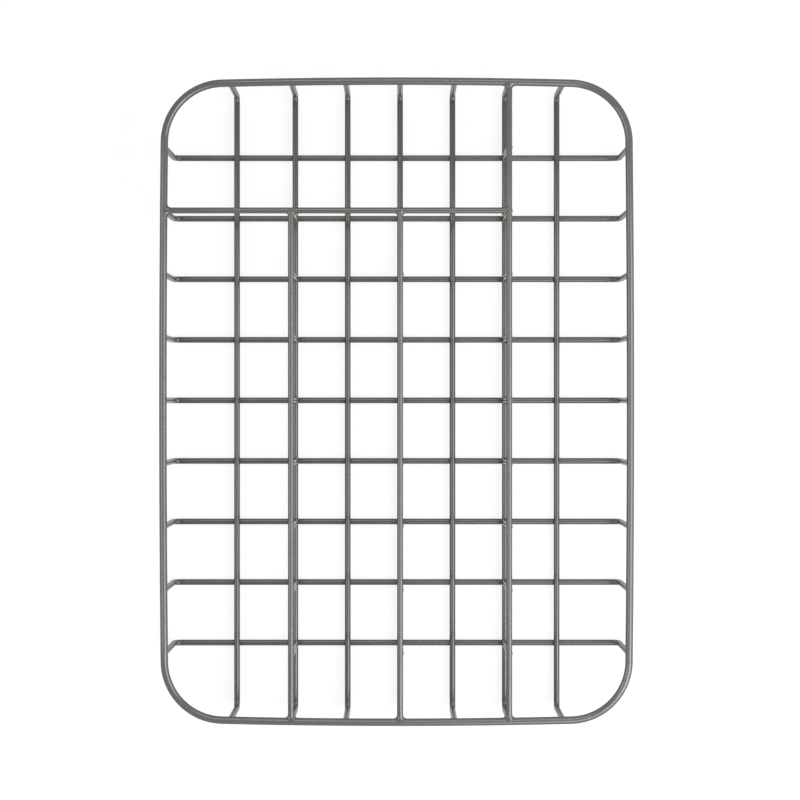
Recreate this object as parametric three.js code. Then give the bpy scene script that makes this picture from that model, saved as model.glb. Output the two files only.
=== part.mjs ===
// Cutlery organizer: a shallow tray of round steel wire, welded and powder coated.
// A heavy rim ring stands on the turned-up ends of the floor wires. Cross wires lie lowest, lane wires lie on
// them, and dividers (a top rail on a row of posts) split the tray into four lanes and one cross compartment.
// Millimetres, +Z up, +Y along the tray. The origin is under the middle of the tray, on the table.

import * as THREE from 'three';

// Overall sizes, outside of the rim
const TRAY_LENGTH = 400;
const TRAY_WIDTH = 293;
const TRAY_HEIGHT = 50;

// Rim: outer corner radius, and how far each side bows out past a straight line between its corners
const RIM_WIRE = 4.6;
const RIM_CORNER_RADIUS = 38.8;
const RIM_SIDE_BOW = 0.9;
const RIM_END_BOW = 1.3;

// Floor wires: the first wire on each side lands just past the rim's corners, and the cross wires are set a
// little off the middle, towards the cross compartment
const FLOOR_WIRE = 3.7;
const FLOOR_BEND_INSIDE = 2.4;
const CORNER_MARGIN = 5.0;
const CROSS_WIRE_SPACING = 39;
const CROSS_WIRE_SHIFT = 0.8;

// Dividers: evenly spaced, and set a little off the middle, towards the full-length lane
const DIVIDER_PITCH = 67.3;
const DIVIDER_SHIFT = 2.1;
const RAIL_WIRE = 3.7;
const POST_WIRE = 3.7;
const CROSS_DIVIDER_ROW = 2;

// Weld allowance between a rail's square end and the curved side of the rim
const BUTT_GAP = 0.3;

// Facets: sides of a wire's section, and steps along a bend, a rim corner and a bowed rim side
const WIRE_SIDES = 12;
const BEND_STEPS = 5;
const CORNER_STEPS = 12;
const BOW_STEPS = 6;

const COATING = { color: 0x706e6a, roughness: 0.42, metalness: 0.0 };

// Heights, stacked from the table up
const crossHeight = FLOOR_WIRE / 2;
const laneHeight = FLOOR_WIRE * 1.5;
const floorTop = FLOOR_WIRE * 2;
const rimHeight = TRAY_HEIGHT - RIM_WIRE / 2;
const rimUnderside = TRAY_HEIGHT - RIM_WIRE;
const railUnderside = rimHeight - RAIL_WIRE / 2;

// Rim centre line: four shallow arcs, one a side, each tangent to the corner arcs between them
const rim = {
  halfWidth: (TRAY_WIDTH - RIM_WIRE) / 2,
  halfLength: (TRAY_LENGTH - RIM_WIRE) / 2,
  corner: RIM_CORNER_RADIUS - RIM_WIRE / 2,
};
rim.sideRadius = arcRadius(rim.halfLength - rim.corner, RIM_SIDE_BOW);
rim.endRadius = arcRadius(rim.halfWidth - rim.corner, RIM_END_BOW);
rim.sideCentre = rim.halfWidth - rim.sideRadius;
rim.endCentre = rim.halfLength - rim.endRadius;
rim.cornerCentre = cornerCentre();

/** Radius of an arc that rises by bow at its middle over a half chord. */
function arcRadius(halfChord, bow) {
  return (halfChord ** 2 + bow ** 2) / (2 * bow);
}

/** Centre of the corner circle in the first quadrant, which touches the side arc and the end arc from inside. */
function cornerCentre() {
  const toSide = rim.sideRadius - rim.corner;
  const toEnd = rim.endRadius - rim.corner;
  const side = new THREE.Vector2(rim.sideCentre, 0);
  const end = new THREE.Vector2(0, rim.endCentre);
  const apart = side.distanceTo(end);
  const along = (toSide ** 2 - toEnd ** 2 + apart ** 2) / (2 * apart);
  const across = Math.sqrt(toSide ** 2 - along ** 2);
  const direction = end.clone().sub(side).divideScalar(apart);
  const normal = new THREE.Vector2(-direction.y, direction.x);
  return side.addScaledVector(direction, along).addScaledVector(normal, across);
}

/** Half width of the rim's centre line at a given place along the tray. */
function rimReachX(y) {
  const sideEnds = rim.cornerCentre.y * rim.sideRadius / (rim.sideRadius - rim.corner);
  if (Math.abs(y) <= sideEnds) return rim.sideCentre + Math.sqrt(rim.sideRadius ** 2 - y ** 2);
  return rim.cornerCentre.x + Math.sqrt(rim.corner ** 2 - (Math.abs(y) - rim.cornerCentre.y) ** 2);
}

/** Half length of the rim's centre line at a given place across the tray. */
function rimReachY(x) {
  const endEnds = rim.cornerCentre.x * rim.endRadius / (rim.endRadius - rim.corner);
  if (Math.abs(x) <= endEnds) return rim.endCentre + Math.sqrt(rim.endRadius ** 2 - x ** 2);
  return rim.cornerCentre.y + Math.sqrt(rim.corner ** 2 - (Math.abs(x) - rim.cornerCentre.x) ** 2);
}

/** A wire's section: a regular polygon of the wire's size across flats, with a flat up, down and to each side. */
function wireSection(diameter) {
  const outer = diameter / 2 / Math.cos(Math.PI / WIRE_SIDES);
  const corners = Array.from({ length: WIRE_SIDES }, (_, i) => {
    const angle = (2 * Math.PI * (i + 0.5)) / WIRE_SIDES;
    return new THREE.Vector2(outer * Math.cos(angle), outer * Math.sin(angle));
  });
  return new THREE.Shape(corners);
}

/** A bent wire's centre line, known at its stations only: the ends of straight runs and the steps of its bends. */
class CentreLine extends THREE.Curve {
  constructor(stations) {
    super();
    this.stations = stations;
    this.steps = stations.length - 1;
  }

  stationAt(u) {
    return this.stations[Math.round(u * this.steps)];
  }

  getPointAt(u, target = new THREE.Vector3()) {
    return target.copy(this.stationAt(u).point);
  }

  getTangentAt(u, target = new THREE.Vector3()) {
    return target.copy(this.stationAt(u).tangent);
  }
}

/** Stations of a flat path of lines and arcs, lifted into space by lift(x, y). */
function stationsOf(path, stepsOf, lift) {
  const joins = 1e-6;
  const runs = path.curves.filter((curve) => curve.getLength() > joins);
  const stationOn = (curve, t) => ({ point: lift(curve.getPoint(t)), tangent: lift(curve.getTangent(t), true) });
  const stations = [stationOn(runs[0], 0)];
  for (const curve of runs) {
    const steps = stepsOf(curve);
    for (let i = 1; i <= steps; i += 1) stations.push(stationOn(curve, i / steps));
  }
  return stations;
}

/** A wire of a given diameter drawn along a centre line. */
function wireAlong(centreLine, diameter) {
  return new THREE.ExtrudeGeometry(wireSection(diameter), { steps: centreLine.steps, extrudePath: centreLine });
}

/** A straight wire with square ends. */
function straightWire(from, to, diameter) {
  return new THREE.ExtrudeGeometry(wireSection(diameter), { steps: 1, extrudePath: new THREE.LineCurve3(from, to) });
}

/** The rim ring: a wire along the closed centre line, whose last station is its first, so it needs no end caps. */
function rimRing() {
  const { sideRadius, endRadius, sideCentre, endCentre, corner, cornerCentre: centre } = rim;
  const sideTurn = Math.atan2(centre.y, centre.x - sideCentre);
  const endTurn = Math.atan2(centre.y - endCentre, centre.x);
  const outline = new THREE.Path();
  outline.absarc(sideCentre, 0, sideRadius, -sideTurn, sideTurn);
  outline.absarc(centre.x, centre.y, corner, sideTurn, endTurn);
  outline.absarc(0, endCentre, endRadius, endTurn, Math.PI - endTurn);
  outline.absarc(-centre.x, centre.y, corner, Math.PI - endTurn, Math.PI - sideTurn);
  outline.absarc(-sideCentre, 0, sideRadius, Math.PI - sideTurn, Math.PI + sideTurn);
  outline.absarc(-centre.x, -centre.y, corner, Math.PI + sideTurn, Math.PI + endTurn);
  outline.absarc(0, -endCentre, endRadius, Math.PI + endTurn, 2 * Math.PI - endTurn);
  outline.absarc(centre.x, -centre.y, corner, 2 * Math.PI - endTurn, 2 * Math.PI - sideTurn);
  const stepsOf = (arc) => (arc.xRadius === corner ? CORNER_STEPS : BOW_STEPS);
  const lift = (v, isDirection) => new THREE.Vector3(v.x, v.y, isDirection ? 0 : rimHeight);
  const stations = stationsOf(outline, stepsOf, lift);
  stations[stations.length - 1] = stations[0];
  const tube = wireAlong(new CentreLine(stations), RIM_WIRE);
  const [, sides] = tube.groups;
  const positions = tube.getAttribute('position').array;
  const ring = new THREE.BufferGeometry();
  const first = sides.start * 3;
  ring.setAttribute('position', new THREE.BufferAttribute(positions.slice(first, first + sides.count * 3), 3));
  ring.computeVertexNormals();
  return ring;
}

/** A floor wire bent up at both ends, its square ends under the rim: reach is half its span, lift places it. */
function floorWire(reach, height, lift) {
  const bend = FLOOR_BEND_INSIDE + FLOOR_WIRE / 2;
  const path = new THREE.Path();
  path.moveTo(-reach, rimUnderside);
  path.lineTo(-reach, height + bend);
  path.absarc(bend - reach, height + bend, bend, Math.PI, 1.5 * Math.PI);
  path.absarc(reach - bend, height + bend, bend, 1.5 * Math.PI, 2 * Math.PI);
  path.lineTo(reach, rimUnderside);
  const stepsOf = (curve) => (curve.isEllipseCurve ? BEND_STEPS : 1);
  return wireAlong(new CentreLine(stationsOf(path, stepsOf, lift)), FLOOR_WIRE);
}

function coatedMesh(name, geometry) {
  const mesh = new THREE.Mesh(geometry, new THREE.MeshStandardMaterial(COATING));
  mesh.name = name;
  return mesh;
}

// Places of the wires: cross wires from the far end to the near end, lane wires from left to right
const firstInset = RIM_CORNER_RADIUS + CORNER_MARGIN;
const crossSpan = TRAY_LENGTH - 2 * firstInset;
const crossGaps = Math.max(CROSS_DIVIDER_ROW, Math.round(crossSpan / CROSS_WIRE_SPACING));
const firstCross = CROSS_WIRE_SHIFT + crossSpan / 2;
const crossPlaces = Array.from({ length: crossGaps + 1 }, (_, i) => firstCross - (i * crossSpan) / crossGaps);
const outerLane = TRAY_WIDTH / 2 - firstInset;
const dividers = {
  left: DIVIDER_SHIFT - DIVIDER_PITCH,
  middle: DIVIDER_SHIFT,
  right: DIVIDER_SHIFT + DIVIDER_PITCH,
};
const lanePlaces = [
  -outerLane,
  dividers.left,
  (dividers.left + dividers.middle) / 2,
  dividers.middle,
  (dividers.middle + dividers.right) / 2,
  dividers.right,
  outerLane,
];
const crossDividerPlace = crossPlaces[CROSS_DIVIDER_ROW - 1];

const tray = new THREE.Group();
tray.add(coatedMesh('rim', rimRing()));

// Floor: cross wires on the table, lane wires across them
const floor = new THREE.Group();
crossPlaces.forEach((y, i) => {
  const lift = (v, isDirection) => new THREE.Vector3(v.x, isDirection ? 0 : y, v.y);
  floor.add(coatedMesh(`cross_wire_${i + 1}`, floorWire(rimReachX(y), crossHeight, lift)));
});
lanePlaces.forEach((x, i) => {
  const lift = (v, isDirection) => new THREE.Vector3(isDirection ? 0 : x, v.x, v.y);
  floor.add(coatedMesh(`lane_wire_${i + 1}`, floorWire(rimReachY(x), laneHeight, lift)));
});
tray.add(floor);

// Dividers: rails at the rim's height, butted to the rim and to each other, on posts over the floor's crossings
const rails = new THREE.Group();
rails.position.z = rimHeight;
const railEndGap = RIM_WIRE / 2 + BUTT_GAP;
const nearEnd = (x) => railEndGap - rimReachY(x);
const belowCrossRail = crossDividerPlace - RAIL_WIRE / 2;
const railRuns = {
  cross_divider_rail: [
    new THREE.Vector3(railEndGap - rimReachX(crossDividerPlace), crossDividerPlace, 0),
    new THREE.Vector3(dividers.right - RAIL_WIRE / 2, crossDividerPlace, 0),
  ],
  left_divider_rail: [
    new THREE.Vector3(dividers.left, nearEnd(dividers.left), 0),
    new THREE.Vector3(dividers.left, belowCrossRail, 0),
  ],
  middle_divider_rail: [
    new THREE.Vector3(dividers.middle, nearEnd(dividers.middle), 0),
    new THREE.Vector3(dividers.middle, belowCrossRail, 0),
  ],
  right_divider_rail: [
    new THREE.Vector3(dividers.right, nearEnd(dividers.right), 0),
    new THREE.Vector3(dividers.right, -nearEnd(dividers.right), 0),
  ],
};
for (const [name, [from, to]] of Object.entries(railRuns)) {
  rails.add(coatedMesh(name, straightWire(from, to, RAIL_WIRE)));
}
tray.add(rails);

const posts = new THREE.Group();
posts.position.z = floorTop;
for (const [side, x] of Object.entries(dividers)) {
  const rows = side === 'right' ? crossPlaces : crossPlaces.slice(CROSS_DIVIDER_ROW - 1);
  rows.forEach((y, i) => {
    const foot = new THREE.Vector3(x, y, 0);
    const head = new THREE.Vector3(x, y, railUnderside - floorTop);
    posts.add(coatedMesh(`${side}_divider_post_${i + 1}`, straightWire(foot, head, POST_WIRE)));
  });
}
tray.add(posts);

export default tray;
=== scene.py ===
import bpy
import numpy as np
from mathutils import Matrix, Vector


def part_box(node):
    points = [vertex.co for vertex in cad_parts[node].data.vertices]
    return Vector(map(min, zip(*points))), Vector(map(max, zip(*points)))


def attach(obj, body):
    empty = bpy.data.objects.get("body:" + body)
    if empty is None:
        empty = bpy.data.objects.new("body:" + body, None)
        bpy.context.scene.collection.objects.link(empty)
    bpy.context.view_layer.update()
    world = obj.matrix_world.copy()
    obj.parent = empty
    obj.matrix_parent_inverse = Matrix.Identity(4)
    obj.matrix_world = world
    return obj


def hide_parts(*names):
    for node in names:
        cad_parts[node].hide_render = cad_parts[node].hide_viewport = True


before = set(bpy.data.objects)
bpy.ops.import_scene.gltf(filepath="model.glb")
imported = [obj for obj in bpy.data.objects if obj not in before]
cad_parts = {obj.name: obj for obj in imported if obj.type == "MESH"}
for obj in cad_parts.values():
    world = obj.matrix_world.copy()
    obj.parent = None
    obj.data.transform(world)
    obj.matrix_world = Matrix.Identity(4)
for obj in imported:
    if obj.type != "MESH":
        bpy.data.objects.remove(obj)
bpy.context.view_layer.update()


# Rim
# The heaviest wire of the tray: round steel bent to a rounded rectangle whose sides bow out a
# little, closed by a butt weld that is ground flush. Floor wires and rails end on it. The whole
# tray is powder coated after welding, so every wire and weld wears one warm grey semi-gloss coat.

RIM_CORNER_RADIUS = 0.0388
RIM_SIDE_BOW = 0.0009
RIM_END_BOW = 0.0013
RIM_ROUND = 36
RIM_BOW_STATIONS = 24
RIM_CORNER_STATIONS = 32

COAT_DEEP = (0.090, 0.0885, 0.0815, 1)
COAT_PALE = (0.180, 0.1775, 0.163, 1)
COAT_TONE = 0.5
COAT_ROUGHNESS = 0.55
GLOSS_ROUGHNESS = 0.13
GLOSS_IOR = 1.9
UPRIGHT_GLOSS = 0.9
NOISE_MIDDLE = 0.5
NOISE_FINE_SHARE = 0.55
PEEL_SIZE = 0.0011
PEEL_DETAIL = 2
PEEL_DEPTH = 0.000006
PEEL_TONE = 0.10
CLOUD_SIZE = 0.05
CLOUD_DETAIL = 3
CLOUD_TONE = 0.28
CLOUD_ROUGHNESS = 0.10
SPECK_SIZE = 0.00035
SPECK_DETAIL = 1
SPECK_TONE = 0.15
SPECK_ROUGHNESS = 0.08
WELD_TONE = 0.08
WELD_ROUGHNESS = 0.10
WELD_LUMPS = 2
WELD_DULLING = 0.3
# Painted shade: the floor wires' colour is darkened by this share of the 'floor' mark, as though
# shade fell on them.
FLOOR_PAINTED_SHADE = 0.40
COAT_MARKS = ("weld", "upright", "floor")


class Signal:
    """A node's output. Arithmetic on it adds Math nodes to its tree."""

    def __init__(self, tree, socket=None):
        self.tree = tree
        self.socket = socket

    def node(self, kind, settings=None, inputs=None, output=0):
        """Adds a node. Its settings are set first, and then each input takes a value or a link."""
        made = self.tree.nodes.new(kind)
        for name, value in (settings or {}).items():
            setattr(made, name, value)
        for key, value in (inputs or {}).items():
            if isinstance(value, Signal):
                self.tree.links.new(value.socket, made.inputs[key])
            else:
                made.inputs[key].default_value = value
        return Signal(self.tree, made.outputs[output] if made.outputs else None)

    def math(self, operation, first, second):
        return self.node("ShaderNodeMath", {"operation": operation}, {0: first, 1: second})

    def __add__(self, other):
        return self.math("ADD", self, other)

    def __radd__(self, other):
        return self.math("ADD", other, self)

    def __sub__(self, other):
        return self.math("SUBTRACT", self, other)

    def __rsub__(self, other):
        return self.math("SUBTRACT", other, self)

    def __mul__(self, other):
        return self.math("MULTIPLY", self, other)

    def __rmul__(self, other):
        return self.math("MULTIPLY", other, self)


def new_material(name):
    """An empty node material, and a Signal that adds nodes to it."""
    material = bpy.data.materials.new(name)
    material.use_nodes = True
    material.node_tree.nodes.clear()
    return material, Signal(material.node_tree)


def powder_coat():
    """Semi-gloss powder coat: cloudy tone over centimetres, fine specks, and the shallow dimples of
    orange peel. Its gloss fades towards a wire's grazing edge, and less so on upright wires, where
    the powder levels out smoother. On the welds the coat is darker, duller and lumpier. On the
    floor wires its colour is darker too, as painted shade."""
    material, make = new_material("powder_coat")
    place = make.node("ShaderNodeTexCoord", output="Object")

    def noise(size, detail):
        inputs = {
            "Vector": place,
            "Scale": 1 / size,
            "Detail": detail,
            "Roughness": NOISE_FINE_SHARE,
        }
        return make.node("ShaderNodeTexNoise", inputs=inputs, output="Fac")

    weld, upright, floor = (
        make.node("ShaderNodeAttribute", {"attribute_name": mark}, output="Fac")
        for mark in COAT_MARKS
    )
    peel = noise(PEEL_SIZE, PEEL_DETAIL)
    clouds = noise(CLOUD_SIZE, CLOUD_DETAIL)
    specks = noise(SPECK_SIZE, SPECK_DETAIL)
    mottle = (
        CLOUD_TONE * (clouds - NOISE_MIDDLE)
        + SPECK_TONE * (specks - NOISE_MIDDLE)
        + PEEL_TONE * (peel - NOISE_MIDDLE)
    )
    # Colour tone: random mottle, darker welds, and painted shade that darkens the floor wires.
    tone = COAT_TONE + mottle - WELD_TONE * weld - FLOOR_PAINTED_SHADE * floor
    colour = make.node(
        "ShaderNodeMix",
        {"data_type": "RGBA"},
        {0: tone, 6: COAT_DEEP, 7: COAT_PALE},
        output=2,
    )
    roughness = (
        COAT_ROUGHNESS
        + CLOUD_ROUGHNESS * (clouds - NOISE_MIDDLE)
        + SPECK_ROUGHNESS * specks
        + WELD_ROUGHNESS * weld
    )
    grazing = make.node("ShaderNodeLayerWeight", inputs={"Blend": 0.5}, output="Facing")
    gloss = 1 - grazing + UPRIGHT_GLOSS * upright * grazing
    bump = make.node(
        "ShaderNodeBump",
        inputs={"Height": peel * (1 + WELD_LUMPS * weld), "Distance": PEEL_DEPTH, "Strength": 1.0},
    )
    shader = make.node(
        "ShaderNodeBsdfPrincipled",
        inputs={
            "Base Color": colour,
            "Roughness": roughness,
            "Specular IOR Level": 0.0,
            "Coat Weight": gloss * (1 - WELD_DULLING * weld),
            "Coat Roughness": GLOSS_ROUGHNESS,
            "Coat IOR": GLOSS_IOR,
            "Normal": bump,
        },
    )
    make.node("ShaderNodeOutputMaterial", inputs={"Surface": shader})
    return material


coat = powder_coat()


def coated(name, skin, ring=False, **marks):
    """A coated piece from a grid of points, stations by angles, joined round the angles. A ring is
    joined along its path too; an open path gets a face over each end. The marks, 0 to 1 at each
    point, are for the coat."""
    index = np.arange(skin[..., 0].size).reshape(skin.shape[:2])
    here, ahead = (index, np.roll(index, -1, 0)) if ring else (index[:-1], index[1:])
    quads = np.stack([here, np.roll(here, -1, 1), np.roll(ahead, -1, 1), ahead], -1)
    faces = quads.reshape(-1, 4).tolist()
    if not ring:
        faces += [index[0, ::-1].tolist(), index[-1].tolist()]
    mesh = bpy.data.meshes.new(name)
    mesh.from_pydata(skin.reshape(-1, 3), [], faces)
    mesh.shade_smooth()
    for mark in COAT_MARKS:
        value = np.broadcast_to(marks.get(mark, 0.0), index.shape).astype(np.float32)
        mesh.attributes.new(mark, "FLOAT", "POINT").data.foreach_set("value", value.ravel())
    mesh.materials.append(coat)
    piece = bpy.data.objects.new(name, mesh)
    bpy.context.scene.collection.objects.link(piece)
    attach(piece, "root")
    return piece


def box(node):
    """A node's lowest and highest corners as arrays."""
    return tuple(np.array(corner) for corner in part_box(node))


def spokes(heading, across, sides):
    """Unit directions round a wire at each station: across * cos(angle) + (heading x across) *
    sin(angle), with the angle once around."""
    angle = np.linspace(0, 2 * np.pi, sides, endpoint=False)[:, None]
    return np.cos(angle) * across[:, None] + np.sin(angle) * np.cross(heading, across)[:, None]


def arc_radius(half_chord, bow):
    """Radius of an arc that rises by bow over a half chord: (half chord squared + bow squared) /
    twice the bow."""
    return (half_chord**2 + bow**2) / (2 * bow)


def rim_line():
    """The rim's centre line by the angle of its outward normal: the centre of the arc that has that
    normal, plus its radius along the normal. A quarter is half a side arc, a corner and half an end
    arc; signs give the others. The corner's centre lies where it touches both arcs from inside."""
    half = rim_half_size - rim_radius
    corner = RIM_CORNER_RADIUS - rim_radius
    bows = np.array([RIM_SIDE_BOW, RIM_END_BOW])
    reach = arc_radius(half[::-1] - corner, bows)
    side, end = np.diag(half - reach)
    apart = np.linalg.norm(end - side)
    along = ((reach[0] - corner) ** 2 - (reach[1] - corner) ** 2 + apart**2) / (2 * apart)
    away = np.sqrt((reach[0] - corner) ** 2 - along**2)
    forward = (end - side) / apart
    middle = side + along * forward + away * np.array([-forward[1], forward[0]])
    leave_side = np.arctan2(middle[1], middle[0] - side[0])
    meet_end = np.arctan2(middle[1] - end[1], middle[0])
    turns = np.concatenate([
        np.linspace(0, leave_side, RIM_BOW_STATIONS, endpoint=False),
        np.linspace(leave_side, meet_end, RIM_CORNER_STATIONS, endpoint=False),
        np.linspace(meet_end, np.pi / 2, RIM_BOW_STATIONS),
    ])
    arc = np.searchsorted([leave_side, meet_end], turns, side="right")
    centres, radii = np.stack([side, middle, end]), np.array([reach[0], corner, reach[1]])
    outward = np.stack([np.cos(turns), np.sin(turns)], -1)
    quarter = centres[arc] + radii[arc, None] * outward
    signs, orders = np.array([[1, 1], [-1, 1], [-1, -1], [1, -1]]), (1, -1, 1, -1)
    path, normal = (
        np.concatenate([sign * part[::order][:-1] for sign, order in zip(signs, orders)])
        for part in (quarter, outward)
    )
    level = np.zeros((len(path), 1))
    return np.hstack([path, level + rim_height]), np.hstack([normal, level])


rim_low, rim_high = box("rim")
rim_half_size = (rim_high - rim_low)[:2] / 2
rim_radius = (rim_high - rim_low)[2] / 2
rim_height = (rim_high + rim_low)[2] / 2
rim_path, rim_outward = rim_line()
rim_heading = np.cross([0.0, 0.0, 1.0], rim_outward)
rim_skin = rim_path[:, None] + rim_radius * spokes(rim_heading, rim_outward, RIM_ROUND)
rim_piece = coated("coated_rim", rim_skin, ring=True)
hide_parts("rim")


# Floor wires
# Lighter round wire, cut to length and bent up square at both ends. Nine cross wires lie lowest and
# seven lane wires lie on them, welded at every crossing. Their ends are welded under the rim, and
# the weld metal fills the notches between the wires in smooth fillets.

WIRE_ROUND = 32
BEND_INSIDE = 0.0024
BEND_STATIONS = 14
RISER_STATIONS = 24
RISER_SMOOTHNESS = 0.55
RISER_WELD_LEG = 0.0018
CROSSING_STATIONS = 15
CROSSING_WELD_LEG = 0.0014

WELD_PROBES = 48
WELD_FLATNESS = 0.6
WELD_TUCK = 0.35
WELD_TONGUE = 0.65
WELD_SINK = 0.00015
WELD_UNDERCUT = 0.00003
WELD_SHOW = 0.0004


def welded(path, spoke, radius, mate, leg, ahead=None):
    """Distance from a wire's axis to its skin, where weld metal joins it to a mate, a wire given by
    a place, a way and a radius. The skin is a smooth union of both: with d and e the distances from
    their surfaces, it lies where min(d, e) - max(leg - |d - e|, 0) squared / (4 leg) is 0. The leg
    shrinks towards the top and bottom of the joint. A wire that ends on its mate has ahead, its
    stations' distances to the mate's axis: its end is tucked into the mate, and past the axis the
    skin sinks in."""
    place, way, mate_radius = mate
    out = np.linspace(0, radius + leg, WELD_PROBES)
    ahead = np.full(len(path), mate_radius) if ahead is None else ahead
    beyond = np.maximum(WELD_TUCK * mate_radius - ahead, 0)
    own = (np.hypot(out, beyond[:, None]) - radius)[:, None]
    probes = path[:, None, None] + out[:, None] * spoke[:, :, None]
    away = probes - np.asarray(place)[..., None, None, :]
    away = away - (away @ way)[..., None] * way
    other = np.linalg.norm(away, axis=-1) - mate_radius + WELD_UNDERCUT
    level = np.cross(np.cross(spoke[:, 0], spoke[:, 1]), way)
    level = (level / np.linalg.norm(level, axis=-1, keepdims=True))[:, None, None]
    height = np.clip((away * level).sum(-1) / mate_radius, -1, 1)
    fill = leg * (1 - WELD_FLATNESS * height**2)
    gap = np.minimum(own, other) - np.maximum(fill - np.abs(own - other), 0) ** 2 / (4 * fill)
    clear = gap > 0
    first = np.where(clear.any(-1), clear.argmax(-1), WELD_PROBES - 1)[..., None]
    inside, outside = (np.take_along_axis(gap, first - step, -1)[..., 0] for step in (1, 0))
    share = np.where(outside > 0, inside / (inside - outside), 1)
    sink = WELD_SINK * np.clip(-ahead / (WELD_TONGUE * mate_radius), 0, 1) ** 2
    return out[first[..., 0] - 1] + share * out[1] - sink[:, None]


def weld_shown(skin, radius):
    """The weld mark, 0 on the bare wire and 1 where the skin stands well out from it."""
    return np.clip((skin - radius) / WELD_SHOW, 0, 1)


def floor_wire(node, along, crossed=()):
    """A bent wire in its own upright plane: riser, bend, floor run, and the first two mirrored. The
    run has stations about each wire that it crosses, and each riser has stations below and into the
    rim. A bend's stations lie at sin(turn) out and 1 - cos(turn) up, times its radius."""
    low, high = box(node)
    flat = 1 - along
    along_way, flat_way = np.eye(3)[[along, flat]]
    radius = (high - low)[flat] / 2
    centre = (high + low) / 2
    bend = BEND_INSIDE + radius
    reach = (high - low)[along] / 2 - radius
    floor = low[2] + radius
    turn = np.linspace(0, np.pi / 2, BEND_STATIONS)
    ahead = np.linspace(rim_radius + RISER_WELD_LEG, -WELD_TONGUE * rim_radius, RISER_STATIONS)
    about = np.linspace(-1, 1, CROSSING_STATIONS) * (radius + CROSSING_WELD_LEG)
    run = (np.sort(crossed)[:, None] + about).ravel() - centre[along]
    ends = np.concatenate([reach - bend + bend * np.sin(turn), np.full(RISER_STATIONS, reach)])
    heights = np.concatenate([floor + bend - bend * np.cos(turn), rim_height - ahead])
    tilts = np.concatenate([turn, np.full(RISER_STATIONS, np.pi / 2)])
    out = np.concatenate([-ends[::-1], run, ends])
    tilt = np.concatenate([-tilts[::-1], 0 * run, tilts])
    path, heading = np.zeros((2, len(out), 3))
    path[:, along], path[:, flat] = centre[along] + out, centre[flat]
    path[:, 2] = np.concatenate([heights[::-1], floor + 0 * run, heights])
    heading[:, along], heading[:, 2] = np.cos(tilt), np.sin(tilt)
    spoke = spokes(heading, np.broadcast_to(flat_way, path.shape), WIRE_ROUND)
    skin = np.full(spoke.shape[:2], radius)
    for side, order in ((slice(RISER_STATIONS), -1), (slice(-RISER_STATIONS, None), 1)):
        mate = (path[side][0] * [1, 1, 0] + [0, 0, rim_height], flat_way, rim_radius)
        skin[side] = welded(path[side], spoke[side], radius, mate, RISER_WELD_LEG, ahead[::order])
    if len(run):
        side = slice(len(ends), -len(ends))
        under = np.repeat(np.sort(crossed), CROSSING_STATIONS)[:, None] * along_way
        mate = (under + [0, 0, floor - 2 * radius], flat_way, radius)
        skin[side] = welded(path[side], spoke[side], radius, mate, CROSSING_WELD_LEG)
    piece = coated(
        f"coated_{node}",
        path[:, None] + skin[..., None] * spoke,
        weld=weld_shown(skin, radius),
        upright=RISER_SMOOTHNESS * np.sin(np.abs(tilt))[:, None],
        # The floor mark, 1 along the floor run and fading up each bend, sets where the coat paints
        # shade.
        floor=np.cos(tilt)[:, None],
    )
    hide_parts(node)


cross_wires = sorted(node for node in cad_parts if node.startswith("cross_wire"))
lane_wires = sorted(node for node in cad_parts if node.startswith("lane_wire"))
cross_places = np.array([np.mean(box(node), axis=0)[1] for node in cross_wires])
for node in cross_wires:
    floor_wire(node, along=0)
for node in lane_wires:
    floor_wire(node, along=1, crossed=cross_places)


# Divider rails
# Straight lengths of the same wire at the rim's height. Each end is butt welded to the side of the
# rim or of the cross rail, and the weld flows out over it in a flared fillet like a fishtail.

RAIL_ROUND = 48
RAIL_END_STATIONS = 30
RIM_WELD_LEG = 0.0028
RAIL_WELD_LEG = 0.0018
BUTT_GAP = 0.0003


def divider_rail(node, along, mates):
    """A straight wire between two mates, each given by the gap before it, its radius and its weld's
    leg, with stations from each weld's start to past the mate's axis."""
    low, high = box(node)
    along_way, flat_way = np.eye(3)[[along, 1 - along]]
    radius = (high - low)[2] / 2
    centre = (high + low) / 2
    paths, skins, rays = [], [], []
    for end, sign, (gap, mate_radius, leg) in zip((low, high), (1, -1), mates):
        ahead = np.linspace(-WELD_TONGUE * mate_radius, mate_radius + leg, RAIL_END_STATIONS)
        ahead = ahead[::sign]
        mate_place = centre.copy()
        mate_place[along] = end[along] - sign * (gap + mate_radius)
        path = mate_place + sign * ahead[:, None] * along_way
        heading, across = (np.broadcast_to(way, path.shape) for way in (along_way, flat_way))
        spoke = spokes(heading, across, RAIL_ROUND)
        skin = welded(path, spoke, radius, (mate_place, flat_way, mate_radius), leg, ahead)
        for store, values in zip((paths, skins, rays), (path, skin, spoke)):
            store.append(values)
    path, skin, spoke = (np.concatenate(store) for store in (paths, skins, rays))
    piece = coated(
        f"coated_{node}",
        path[:, None] + skin[..., None] * spoke,
        weld=weld_shown(skin, radius),
    )
    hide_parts(node)


rail_low, rail_high = box("cross_divider_rail")
rail_radius = (rail_high - rail_low)[2] / 2
to_rim = (BUTT_GAP, rim_radius, RIM_WELD_LEG)
to_rail = (0.0, rail_radius, RAIL_WELD_LEG)
divider_rail("cross_divider_rail", 0, (to_rim, to_rail))
divider_rail("left_divider_rail", 1, (to_rim, to_rail))
divider_rail("middle_divider_rail", 1, (to_rim, to_rail))
divider_rail("right_divider_rail", 1, (to_rim, to_rim))


# Divider posts
# Short square-cut lengths of wire, one on each floor crossing under a rail, resistance welded to
# the floor at the foot and to the rail at the head. They lean a hair off the rails' middles, so
# their heads show beside them.

POST_ROUND = 32
POST_END_STATIONS = 18
POST_WELD_LEG = 0.0013
POST_LEAN = 0.0004


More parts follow.
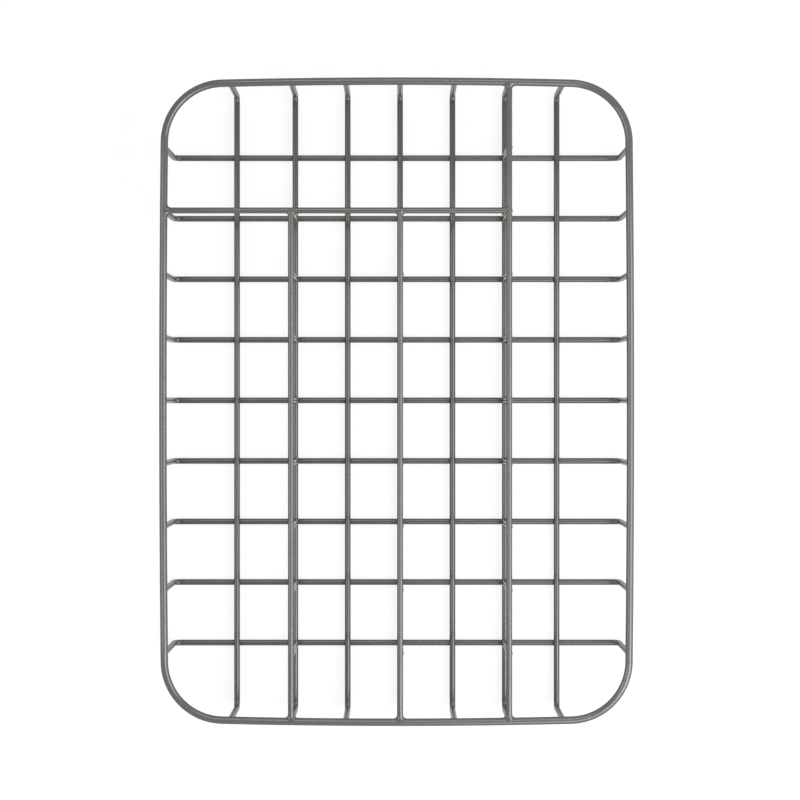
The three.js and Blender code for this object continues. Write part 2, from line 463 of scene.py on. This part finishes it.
def divider_post(node):
    """A straight wire from the lane wire under its foot to the rail over its head, leaning evenly
    off the rail's middle: by lean * (height - foot) / (head - foot)."""
    low, high = box(node)
    radius = (high - low)[0] / 2
    centre = (high + low) / 2
    foot_axis, head_axis = low[2] - radius, high[2] + rail_radius
    ahead = np.linspace(-WELD_TONGUE * radius, radius + POST_WELD_LEG, POST_END_STATIONS)
    height = np.concatenate([foot_axis + ahead, head_axis - ahead[::-1]])
    path = np.tile(centre, (len(height), 1))
    path[:, 0] += POST_LEAN * (height - low[2]) / (high[2] - low[2])
    path[:, 2] = height
    across, along, upward = np.eye(3)
    spoke = spokes(*(np.broadcast_to(way, path.shape) for way in (upward, across)), POST_ROUND)
    on_cross_line = abs(centre[1] - rail_low[1] - rail_radius) < rail_radius
    rail_way = across if on_cross_line and centre[0] < rail_high[0] else along
    foot_mate = (centre * [1, 1, 0] + [0, 0, foot_axis], along, radius)
    head_mate = (centre * [1, 1, 0] + [0, 0, head_axis], rail_way, rail_radius)
    foot, head = slice(POST_END_STATIONS), slice(POST_END_STATIONS, None)
    skin = np.concatenate([
        welded(path[foot], spoke[foot], radius, foot_mate, POST_WELD_LEG, ahead),
        welded(path[head], spoke[head], radius, head_mate, POST_WELD_LEG, ahead[::-1]),
    ])
    piece = coated(
        f"coated_{node}",
        path[:, None] + skin[..., None] * spoke,
        weld=weld_shown(skin, radius),
        upright=1.0,
    )
    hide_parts(node)


for node in sorted(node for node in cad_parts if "divider_post" in node):
    divider_post(node)


# Table and light
# A white table whose edge sweeps up all round, white to the camera and in reflections, with a soft
# shadow of the tray. It bounces only some light up, so the wires keep their dark edges. Softboxes
# stand on the right and past the near right corner, weaker ones on the left and past the far end.

TABLE_REACH = 2.0
SWEEP_RADIUS = 2.0
SWEEP_STATIONS = 24
SWEEP_SIDES = 96
WHITE = (1, 1, 1, 1)
TABLE_BOUNCE = (0.35, 0.35, 0.35, 1)
TABLE_GLOW = 0.82
TABLE_SHADE = (0.24, 0.24, 0.24, 1)


def seen(make):
    """1 for camera rays and for rays seen in gloss or through glass, and 0 for the rest."""
    path = make.node("ShaderNodeLightPath")
    camera, glossy, through = (
        Signal(make.tree, path.socket.node.outputs[name])
        for name in ("Is Camera Ray", "Is Glossy Ray", "Is Transmission Ray")
    )
    return make.math("MAXIMUM", make.math("MAXIMUM", camera, glossy), through)


def white_table():
    """A white glow plus a little shading where the table is seen, so that the tray's shadow shows,
    and a grey that bounces light for all other rays."""
    material, make = new_material("white_table")
    glow = make.node("ShaderNodeEmission", inputs={"Color": WHITE, "Strength": TABLE_GLOW})
    shade = make.node("ShaderNodeBsdfDiffuse", inputs={"Color": TABLE_SHADE})
    white = make.node("ShaderNodeAddShader", inputs={0: glow, 1: shade})
    bounce = make.node("ShaderNodeBsdfDiffuse", inputs={"Color": TABLE_BOUNCE})
    surface = make.node("ShaderNodeMixShader", inputs={0: seen(make), 1: bounce, 2: white})
    make.node("ShaderNodeOutputMaterial", inputs={"Surface": surface})
    return material


def swept_table():
    """A flat disc that rises at its edge in a quarter circle: at rise t it lies reach + radius
    sin(t) out and radius (1 - cos(t)) high."""
    rise = np.linspace(0, np.pi / 2, SWEEP_STATIONS)
    angle = np.linspace(0, 2 * np.pi, SWEEP_SIDES, endpoint=False)
    out = TABLE_REACH + SWEEP_RADIUS * np.sin(rise)
    height = SWEEP_RADIUS * (1 - np.cos(rise))
    across, along = (np.outer(out, wave(angle)) for wave in (np.cos, np.sin))
    rings = np.stack([across, along, np.outer(height, np.ones_like(angle))], -1)
    index = np.arange(across.size).reshape(across.shape)
    inner, outer = index[:-1], index[1:]
    quads = np.stack([inner, outer, np.roll(outer, -1, 1), np.roll(inner, -1, 1)], -1)
    faces = [index[0].tolist(), *quads.reshape(-1, 4).tolist()]
    mesh = bpy.data.meshes.new("table")
    mesh.from_pydata(rings.reshape(-1, 3), [], faces)
    mesh.shade_smooth()
    mesh.materials.append(white_table())
    return bpy.data.objects.new("table", mesh)


table = swept_table()
bpy.context.scene.collection.objects.link(table)

WORLD_LIGHT = 0.30
world = bpy.data.worlds.new("studio")
world.use_nodes = True
world.node_tree.nodes.clear()
make = Signal(world.node_tree)
backdrop = make.node("ShaderNodeBackground", inputs={"Color": WHITE, "Strength": WORLD_LIGHT})
make.node("ShaderNodeOutputWorld", inputs={"Surface": backdrop})
bpy.context.scene.world = world

# Each softbox's place, size and watts.
RIGHT_SOFTBOX = ((0.46, -0.12, 0.56), (0.65, 0.55), 3.1)
LEFT_SOFTBOX = ((-0.70, 0.00, 0.75), (0.60, 0.60), 1.9)
FAR_SOFTBOX = ((0.05, 0.75, 1.10), (0.60, 0.45), 1.9)
NEAR_SOFTBOX = ((0.38, -0.58, 0.75), (0.80, 0.45), 2.7)


def softbox(name, place, size, watts):
    """A rectangular lamp that faces the tray's middle."""
    lamp = bpy.data.lights.new(name, "AREA")
    lamp.shape = "RECTANGLE"
    lamp.size, lamp.size_y = size
    lamp.energy = watts
    stand = bpy.data.objects.new(name, lamp)
    stand.location = place
    stand.rotation_euler = (-stand.location).to_track_quat("-Z", "Y").to_euler()
    bpy.context.scene.collection.objects.link(stand)


softbox("right_softbox", *RIGHT_SOFTBOX)
softbox("left_softbox", *LEFT_SOFTBOX)
softbox("far_softbox", *FAR_SOFTBOX)
softbox("near_softbox", *NEAR_SOFTBOX)


# Camera
# Straight above the tray, a metre over the rim, with the tray's far end at the top of the picture.
# From there the floor looks a little smaller than the rim, and risers and posts lean inwards.

CAMERA_PLACE = (0.00204, 0.00105, 1.0477)
CAMERA_LENS = 72.96
CAMERA_SENSOR = 36

camera = bpy.data.cameras.new("camera")
camera.sensor_width = CAMERA_SENSOR
camera.lens = CAMERA_LENS
tripod = bpy.data.objects.new("camera", camera)
tripod.location = CAMERA_PLACE
bpy.context.scene.collection.objects.link(tripod)
bpy.context.scene.camera = tripod
bpy.context.scene.view_settings.view_transform = "Standard"
